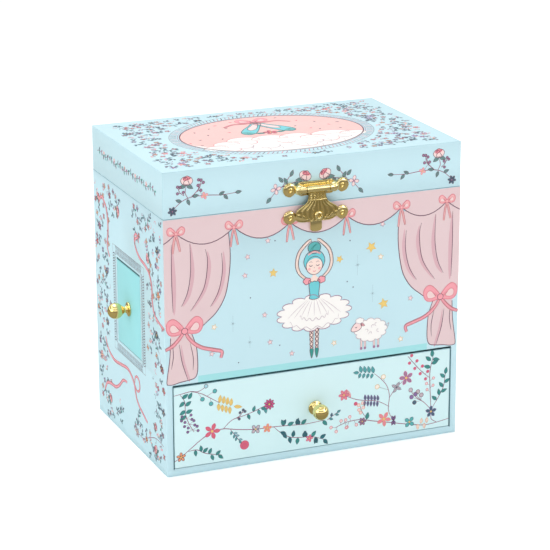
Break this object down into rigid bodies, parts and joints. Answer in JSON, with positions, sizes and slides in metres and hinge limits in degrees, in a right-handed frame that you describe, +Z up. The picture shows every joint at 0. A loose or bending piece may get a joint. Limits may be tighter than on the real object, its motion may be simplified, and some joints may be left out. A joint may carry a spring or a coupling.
{
  "type": "musical jewellery box",
  "caption": "Paper-covered jewellery box with a mirrored hinged lid, shell clasp, front drawer, side drawer and a wound musical movement that turns a dancer inside.",
  "frame": {"origin": "middle of the box's underside, on the surface that it stands on", "axes": "+Z up, the front with the drawer and clasp faces -Y, the side drawer faces -X"},
  "size_m": [0.182, 0.145, 0.166],
  "materials": {
    "fibreboard": "bare pressed fibreboard",
    "printed_paper": "pale blue printed paper with a soft satin varnish",
    "papered_board": "board covered with printed paper",
    "turquoise_front": "board covered with plain turquoise paper",
    "turquoise_board": "board covered with plain turquoise paper",
    "pink_board": "board covered with pink paper",
    "pink_card": "pink card",
    "lining_paper": "pink flocked lining paper",
    "plush": "short plush over foam",
    "felt": "thin felt",
    "mirror_glass": "silvered glass",
    "brass_plate": "pressed sheet, polished",
    "brass_knob": "turned and polished",
    "screw_steel": "zinc plated",
    "cast_zinc": "as cast",
    "spring_steel": "ground spring steel",
    "movement_brass": "turned",
    "nylon": "moulded",
    "doll_plastic": "moulded and painted",
    "tulle": "gathered net"
  },
  "bodies": {
    "case": {"base_board": "fibreboard", "left_side": "fibreboard", "right_side": "fibreboard", "back_board": "fibreboard", "front_panel": "fibreboard", "case_wrap": "printed_paper", "drawer_shelf": "turquoise_board", "side_drawer_bay": "turquoise_board", "compartment_floor": "pink_board", "compartment_lining": "lining_paper", "compartment_partition": "pink_board", "ring_rolls": "plush", "stage_disc": "plush", "clasp_case_plate": "brass_plate", "clasp_case_nails": "brass_plate", "hinge_case_leaves": "brass_plate", "hinge_pins": "brass_plate", "hinge_case_nails": "brass_plate", "movement_frame": "cast_zinc", "movement_screws": "screw_steel", "key_escutcheon": "brass_plate", "spring_housing": "cast_zinc", "mainspring": "spring_steel", "tune_comb": "spring_steel", "governor_bracket": "nylon"},
    "lid": {"lid_top_board": "fibreboard", "lid_rim": "fibreboard", "lid_wrap": "printed_paper", "lid_liner": "pink_card", "mirror": "mirror_glass", "mirror_frame": "pink_card", "clasp_lid_plate": "brass_plate", "clasp_pin": "brass_plate", "clasp_lid_nails": "brass_plate", "hinge_lid_leaves": "brass_plate", "hinge_lid_nails": "brass_plate"},
    "hasp": {"clasp_hasp": "brass_plate"},
    "front_drawer": {"drawer_front": "papered_board", "drawer_side_walls": "turquoise_board", "drawer_back_wall": "turquoise_board", "drawer_bottom": "turquoise_board", "drawer_felt": "felt", "drawer_knob": "brass_knob", "drawer_knob_screw": "screw_steel"},
    "side_drawer": {"side_drawer_front": "turquoise_front", "side_drawer_tray": "turquoise_board", "side_drawer_felt": "felt", "side_drawer_knob": "brass_knob", "side_drawer_knob_screw": "screw_steel"},
    "winding_train": {"winding_arbor": "screw_steel", "great_wheel": "movement_brass", "winding_key": "brass_plate"},
    "cylinder_train": {"cylinder_arbor": "screw_steel", "tune_cylinder": "movement_brass"},
    "governor_wheel": {"governor_arbor": "nylon"},
    "fly": {"governor_worm": "nylon"},
    "dancer": {"dancer_spindle": "movement_brass", "dancer_figure": "doll_plastic", "dancer_tutu": "tulle"},
    "stop": {"stop_wire": "spring_steel"}
  },
  "joints": [
    {"name": "lid_hinge", "type": "hinge", "parent": "case", "child": "lid", "pos_m": [0, 0.0582, 0.141], "axis": [-1, 0, 0], "range_deg": [0, 100]},
    {"name": "hasp_hinge", "type": "hinge", "parent": "lid", "child": "hasp", "pos_m": [0, -0.0596, 0.1495], "axis": [-1, 0, 0], "range_deg": [0, 110]},
    {"name": "drawer_slide", "type": "slide", "parent": "case", "child": "front_drawer", "axis": [0, -1, 0], "range_m": [0, 0.08]},
    {"name": "side_drawer_slide", "type": "slide", "parent": "case", "child": "side_drawer", "axis": [-1, 0, 0], "range_m": [0, 0.06]},
    {"name": "cylinder_spin", "type": "hinge", "parent": "case", "child": "cylinder_train", "pos_m": [0.036, 0.028, 0.077], "axis": [0, 0, 1], "continuous": true},
    {"name": "key_spin", "type": "hinge", "parent": "case", "child": "winding_train", "pos_m": [0.036, 0.05, 0.077], "axis": [0, 1, 0], "continuous": true},
    {"name": "governor_spin", "type": "hinge", "parent": "case", "child": "governor_wheel", "pos_m": [0.05159, 0.019, 0.062], "axis": [0, 0, 1], "continuous": true},
    {"name": "fly_spin", "type": "hinge", "parent": "case", "child": "fly", "pos_m": [0.06039, 0.019, 0.0645], "axis": [0, 1, 0], "continuous": true},
    {"name": "dancer_spin", "type": "hinge", "parent": "case", "child": "dancer", "pos_m": [0.036, 0.00025, 0.1], "axis": [0, 0, 1], "continuous": true},
    {"name": "stop_lift", "type": "slide", "parent": "case", "child": "stop", "axis": [0, 0, 1], "range_m": [0, 0.0064]}
  ],
  "couplings": [
    {"joint": "key_spin", "follows": "cylinder_spin", "ratio": -0.41667},
    {"joint": "governor_spin", "follows": "cylinder_spin", "ratio": -4},
    {"joint": "fly_spin", "follows": "cylinder_spin", "ratio": 64},
    {"joint": "dancer_spin", "follows": "cylinder_spin", "ratio": -1.6429},
    {"joint": "stop_lift", "follows": "lid_hinge", "m_per_rad": 0.0036}
  ]
}
